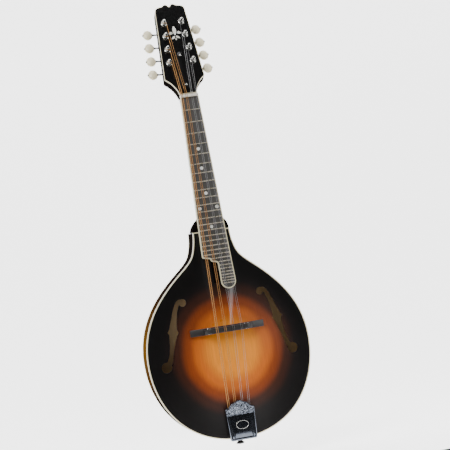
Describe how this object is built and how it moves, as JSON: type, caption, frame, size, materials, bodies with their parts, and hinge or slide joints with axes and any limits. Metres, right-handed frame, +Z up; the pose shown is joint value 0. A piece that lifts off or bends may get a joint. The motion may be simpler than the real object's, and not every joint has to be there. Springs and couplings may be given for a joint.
{
  "type": "mandolin",
  "caption": "Arched-top teardrop mandolin with f-holes, geared tuners, adjustable floating bridge and covered tailpiece.",
  "frame": {"origin": "at the nut, in the middle of the neck section, where a wall hanger holds it", "axes": "+Z up the neck to the headstock, the top faces -Y, the bass side is -X"},
  "size_m": [0.249, 0.1158, 0.6824],
  "materials": {
    "sunburst_top": "gloss sunburst lacquer, amber to near black",
    "dark_wood": "gloss dark brown lacquer",
    "bare_wood": "raw",
    "binding": "cream",
    "black_gloss": "gloss black",
    "fingerboard": "oiled dark rosewood with nickel frets",
    "ebony": "satin",
    "nut": "off white",
    "nickel": "polished",
    "steel": "satin",
    "button": "ivoroid button on a steel shaft",
    "bronze": "wound"
  },
  "bodies": {
    "frame": {"top_plate": "sunburst_top", "back_plate": "dark_wood", "side_bass": "dark_wood", "side_treble": "dark_wood", "neck_block": "bare_wood", "tail_block": "bare_wood", "lining_top_bass": "bare_wood", "lining_top_treble": "bare_wood", "lining_back_bass": "bare_wood", "lining_back_treble": "bare_wood", "tone_bar_bass": "bare_wood", "tone_bar_treble": "bare_wood", "top_binding": "binding", "back_binding": "binding", "neck": "dark_wood", "headstock_overlay": "black_gloss", "headstock_binding": "binding", "fingerboard": "fingerboard", "fingerboard_binding": "binding", "nut": "nut", "truss_rod": "steel", "truss_rod_cover": "black_gloss", "cover_screw_lower": "nickel", "cover_screw_upper": "nickel", "tuner_strip_bass": "nickel", "tuner_strip_treble": "nickel", "bridge_base": "ebony", "bridge_post_bass": "steel", "bridge_post_treble": "steel", "tailpiece_base": "nickel", "strap_button": "black_gloss", "string_g1": "bronze", "string_g2": "bronze", "string_d1": "bronze", "string_d2": "bronze", "string_a1": "steel", "string_a2": "steel", "string_e1": "steel", "string_e2": "steel"},
    "tuner_key_bass_1": {"tuner_key_bass_1": "button"},
    "string_post_bass_1": {"string_post_bass_1": "steel"},
    "tuner_key_bass_2": {"tuner_key_bass_2": "button"},
    "string_post_bass_2": {"string_post_bass_2": "steel"},
    "tuner_key_bass_3": {"tuner_key_bass_3": "button"},
    "string_post_bass_3": {"string_post_bass_3": "steel"},
    "tuner_key_bass_4": {"tuner_key_bass_4": "button"},
    "string_post_bass_4": {"string_post_bass_4": "steel"},
    "tuner_key_treble_1": {"tuner_key_treble_1": "button"},
    "string_post_treble_1": {"string_post_treble_1": "steel"},
    "tuner_key_treble_2": {"tuner_key_treble_2": "button"},
    "string_post_treble_2": {"string_post_treble_2": "steel"},
    "tuner_key_treble_3": {"tuner_key_treble_3": "button"},
    "string_post_treble_3": {"string_post_treble_3": "steel"},
    "tuner_key_treble_4": {"tuner_key_treble_4": "button"},
    "string_post_treble_4": {"string_post_treble_4": "steel"},
    "saddle": {"bridge_saddle": "ebony"},
    "thumbwheel_bass": {"thumbwheel_bass": "nickel"},
    "thumbwheel_treble": {"thumbwheel_treble": "nickel"},
    "cover": {"tailpiece_cover": "nickel"},
    "rod_nut": {"truss_rod_nut": "steel"}
  },
  "joints": [
    {"name": "tuner_key_bass_1_turn", "type": "hinge", "parent": "frame", "child": "tuner_key_bass_1", "pos_m": [-0.01876, 0.03443, 0.04242], "axis": [-0.9976, 0.0237, 0.0646], "continuous": true},
    {"name": "string_post_bass_1_turn", "type": "hinge", "parent": "frame", "child": "string_post_bass_1", "pos_m": [-0.01835, 0.01423, 0.05619], "axis": [0, -0.9391, 0.3437], "continuous": true},
    {"name": "tuner_key_bass_2_turn", "type": "hinge", "parent": "frame", "child": "tuner_key_bass_2", "pos_m": [-0.01718, 0.04233, 0.06402], "axis": [-0.9976, 0.0237, 0.0646], "continuous": true},
    {"name": "string_post_bass_2_turn", "type": "hinge", "parent": "frame", "child": "string_post_bass_2", "pos_m": [-0.01676, 0.02213, 0.07779], "axis": [0, -0.9391, 0.3437], "continuous": true},
    {"name": "tuner_key_bass_3_turn", "type": "hinge", "parent": "frame", "child": "tuner_key_bass_3", "pos_m": [-0.01559, 0.05024, 0.08562], "axis": [-0.9976, 0.0237, 0.0646], "continuous": true},
    {"name": "string_post_bass_3_turn", "type": "hinge", "parent": "frame", "child": "string_post_bass_3", "pos_m": [-0.01518, 0.03004, 0.09939], "axis": [0, -0.9391, 0.3437], "continuous": true},
    {"name": "tuner_key_bass_4_turn", "type": "hinge", "parent": "frame", "child": "tuner_key_bass_4", "pos_m": [-0.014, 0.05814, 0.10722], "axis": [-0.9976, 0.0237, 0.0646], "continuous": true},
    {"name": "string_post_bass_4_turn", "type": "hinge", "parent": "frame", "child": "string_post_bass_4", "pos_m": [-0.01359, 0.03794, 0.12099], "axis": [0, -0.9391, 0.3437], "continuous": true},
    {"name": "tuner_key_treble_1_turn", "type": "hinge", "parent": "frame", "child": "tuner_key_treble_1", "pos_m": [0.01876, 0.03443, 0.04242], "axis": [0.9976, 0.0237, 0.0646], "continuous": true},
    {"name": "string_post_treble_1_turn", "type": "hinge", "parent": "frame", "child": "string_post_treble_1", "pos_m": [0.01835, 0.01423, 0.05619], "axis": [0, -0.9391, 0.3437], "continuous": true},
    {"name": "tuner_key_treble_2_turn", "type": "hinge", "parent": "frame", "child": "tuner_key_treble_2", "pos_m": [0.01718, 0.04233, 0.06402], "axis": [0.9976, 0.0237, 0.0646], "continuous": true},
    {"name": "string_post_treble_2_turn", "type": "hinge", "parent": "frame", "child": "string_post_treble_2", "pos_m": [0.01676, 0.02213, 0.07779], "axis": [0, -0.9391, 0.3437], "continuous": true},
    {"name": "tuner_key_treble_3_turn", "type": "hinge", "parent": "frame", "child": "tuner_key_treble_3", "pos_m": [0.01559, 0.05024, 0.08562], "axis": [0.9976, 0.0237, 0.0646], "continuous": true},
    {"name": "string_post_treble_3_turn", "type": "hinge", "parent": "frame", "child": "string_post_treble_3", "pos_m": [0.01518, 0.03004, 0.09939], "axis": [0, -0.9391, 0.3437], "continuous": true},
    {"name": "tuner_key_treble_4_turn", "type": "hinge", "parent": "frame", "child": "tuner_key_treble_4", "pos_m": [0.014, 0.05814, 0.10722], "axis": [0.9976, 0.0237, 0.0646], "continuous": true},
    {"name": "string_post_treble_4_turn", "type": "hinge", "parent": "frame", "child": "string_post_treble_4", "pos_m": [0.01359, 0.03794, 0.12099], "axis": [0, -0.9391, 0.3437], "continuous": true},
    {"name": "saddle_lift", "type": "slide", "parent": "frame", "child": "saddle", "axis": [0, -1, 0], "range_m": [0, 0.0015], "deforming": ["string_g1", "string_g2", "string_d1", "string_d2", "string_a1", "string_a2", "string_e1", "string_e2"]},
    {"name": "thumbwheel_bass_turn", "type": "hinge", "parent": "saddle", "child": "thumbwheel_bass", "pos_m": [-0.0285, -0.0377, -0.3536], "axis": [0, -1, 0], "range_deg": [-2, 773.43]},
    {"name": "thumbwheel_treble_turn", "type": "hinge", "parent": "saddle", "child": "thumbwheel_treble", "pos_m": [0.0285, -0.0377, -0.3536], "axis": [0, -1, 0], "range_deg": [-2, 773.43]},
    {"name": "cover_slide", "type": "slide", "parent": "frame", "child": "cover", "axis": [0, 0, 1], "range_m": [0, 0.01]},
    {"name": "truss_nut_turn", "type": "hinge", "parent": "frame", "child": "rod_nut", "pos_m": [0, 0.00128, 0.00537], "axis": [0, 0.0972, 0.9953], "range_deg": [-180, 180]}
  ],
  "couplings": [
    {"joint": "string_post_bass_1_turn", "follows": "tuner_key_bass_1_turn", "ratio": 0.076923},
    {"joint": "string_post_bass_2_turn", "follows": "tuner_key_bass_2_turn", "ratio": 0.076923},
    {"joint": "string_post_bass_3_turn", "follows": "tuner_key_bass_3_turn", "ratio": 0.076923},
    {"joint": "string_post_bass_4_turn", "follows": "tuner_key_bass_4_turn", "ratio": 0.076923},
    {"joint": "string_post_treble_1_turn", "follows": "tuner_key_treble_1_turn", "ratio": 0.076923},
    {"joint": "string_post_treble_2_turn", "follows": "tuner_key_treble_2_turn", "ratio": 0.076923},
    {"joint": "string_post_treble_3_turn", "follows": "tuner_key_treble_3_turn", "ratio": 0.076923},
    {"joint": "string_post_treble_4_turn", "follows": "tuner_key_treble_4_turn", "ratio": 0.076923},
    {"joint": "thumbwheel_bass_turn", "follows": "saddle_lift", "rad_per_m": 8976},
    {"joint": "thumbwheel_treble_turn", "follows": "saddle_lift", "rad_per_m": 8976}
  ]
}
